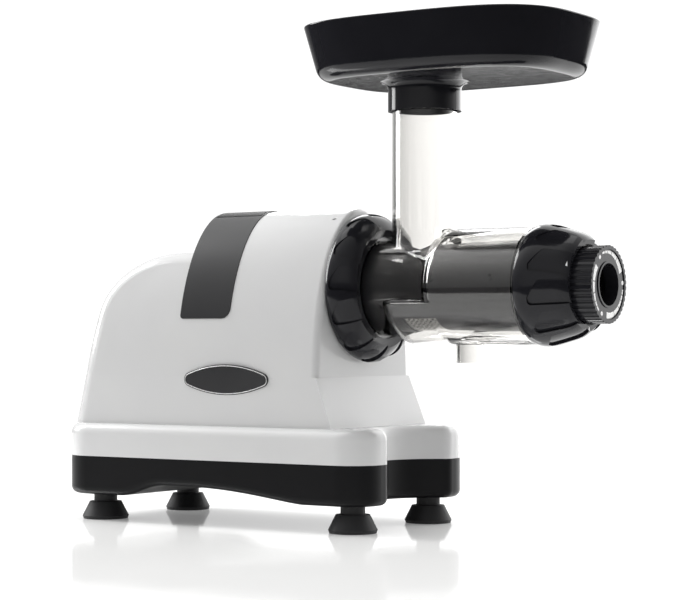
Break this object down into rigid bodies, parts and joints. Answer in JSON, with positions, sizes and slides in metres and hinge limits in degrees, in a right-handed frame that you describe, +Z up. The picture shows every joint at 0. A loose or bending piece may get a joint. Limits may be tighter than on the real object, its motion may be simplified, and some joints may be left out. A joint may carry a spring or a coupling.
{
  "type": "cold press juicer",
  "caption": "Horizontal slow juicer: gloss housing on a footed base, geared motor, locking ring, clear drum with feed chute and spout, tray, and an end cap with a pulp dial.",
  "frame": {"origin": "on the table, under the middle of the overall length and width", "axes": "+X along the auger towards the pulp outlet, +Y to the far side, +Z up"},
  "size_m": [0.469, 0.1648, 0.394],
  "materials": {
    "gloss_white": "moulded, high gloss",
    "gloss_black": "moulded, high gloss",
    "satin_black": "moulded, satin",
    "satin_band": "satin, slightly metallic",
    "insert_black": "gloss",
    "clear": "clear moulded plastic, polished",
    "screen_grey": "moulded, semi-gloss",
    "black_rubber": "matte",
    "seal_grey": "matte silicone",
    "mesh_steel": "perforated sheet",
    "steel": "turned",
    "screw_steel": "zinc plated",
    "auger_plastic": "moulded, semi-gloss",
    "gear_nylon": "moulded nylon",
    "cast_aluminium": "die cast",
    "bronze": "sintered bronze",
    "copper_winding": "enamelled copper",
    "laminations": "stacked sheet",
    "capacitor_case": "moulded",
    "switch_black": "moulded"
  },
  "bodies": {
    "appliance": {"motor_housing": "gloss_white", "base_skirt": "gloss_white", "base_pan": "satin_black", "handle_band": "satin_band", "handle_insert": "insert_black", "rubber_feet": "black_rubber", "foot_screws": "screw_steel", "base_screws": "screw_steel", "lock_flange": "satin_black", "flange_screws": "screw_steel", "drum": "clear", "feed_tube": "clear", "spout_tube": "clear", "drum_seal": "seal_grey", "shaft_seal": "black_rubber", "juicing_screen": "screen_grey", "strainer_mesh": "mesh_steel", "gearbox_case": "cast_aluminium", "gearbox_cover": "cast_aluminium", "gearbox_screws": "screw_steel", "output_bearings": "steel", "idler_bushes": "bronze", "motor_front_bell": "cast_aluminium", "motor_rear_bell": "cast_aluminium", "motor_stator": "laminations", "stator_windings": "copper_winding", "motor_bearings": "steel", "motor_bolts": "screw_steel", "run_capacitor": "capacitor_case", "switch_bezel": "switch_black", "cord_inlet_bush": "black_rubber"},
    "motor_group": {"motor_rotor": "laminations", "motor_shaft": "steel", "cooling_fan": "satin_black"},
    "idler_group": {"idler_shaft": "steel", "idler_gear": "gear_nylon"},
    "auger_group": {"auger": "auger_plastic", "auger_drive_end": "steel", "drive_hub": "steel", "output_shaft": "steel", "output_gear": "gear_nylon"},
    "ring": {"locking_ring": "gloss_black"},
    "cap": {"end_cap": "gloss_black", "outlet_nozzle": "satin_black", "cap_seal": "seal_grey"},
    "dial": {"adjusting_knob": "gloss_black"},
    "tray": {"hopper": "gloss_black"},
    "rocker": {"power_rocker": "switch_black"}
  },
  "joints": [
    {"name": "motor_spin", "type": "hinge", "parent": "appliance", "child": "motor_group", "pos_m": [-0.0825, 0, 0.11575], "axis": [1, 0, 0], "continuous": true},
    {"name": "idler_spin", "type": "hinge", "parent": "appliance", "child": "idler_group", "pos_m": [-0.02, 0, 0.14875], "axis": [1, 0, 0], "continuous": true},
    {"name": "auger_spin", "type": "hinge", "parent": "appliance", "child": "auger_group", "pos_m": [0.1, 0, 0.19], "axis": [1, 0, 0], "continuous": true},
    {"name": "ring_turn", "type": "hinge", "parent": "appliance", "child": "ring", "pos_m": [0.0325, 0, 0.19], "axis": [1, 0, 0], "range_deg": [0, 60]},
    {"name": "cap_turn", "type": "hinge", "parent": "appliance", "child": "cap", "pos_m": [0.19, 0, 0.19], "axis": [1, 0, 0], "range_deg": [0, 60]},
    {"name": "dial_turn", "type": "hinge", "parent": "cap", "child": "dial", "pos_m": [0.2255, 0, 0.19], "axis": [1, 0, 0], "range_deg": [0, 240]},
    {"name": "tray_lift", "type": "slide", "parent": "appliance", "child": "tray", "axis": [0, 0, 1], "range_m": [0, 0.05]},
    {"name": "switch_rock", "type": "hinge", "parent": "appliance", "child": "rocker", "pos_m": [-0.21472, 0, 0.14541], "axis": [0, 1, 0], "range_deg": [-12, 12]}
  ],
  "couplings": [
    {"joint": "idler_spin", "follows": "motor_spin", "ratio": -0.22222},
    {"joint": "auger_spin", "follows": "motor_spin", "ratio": 0.049383}
  ]
}
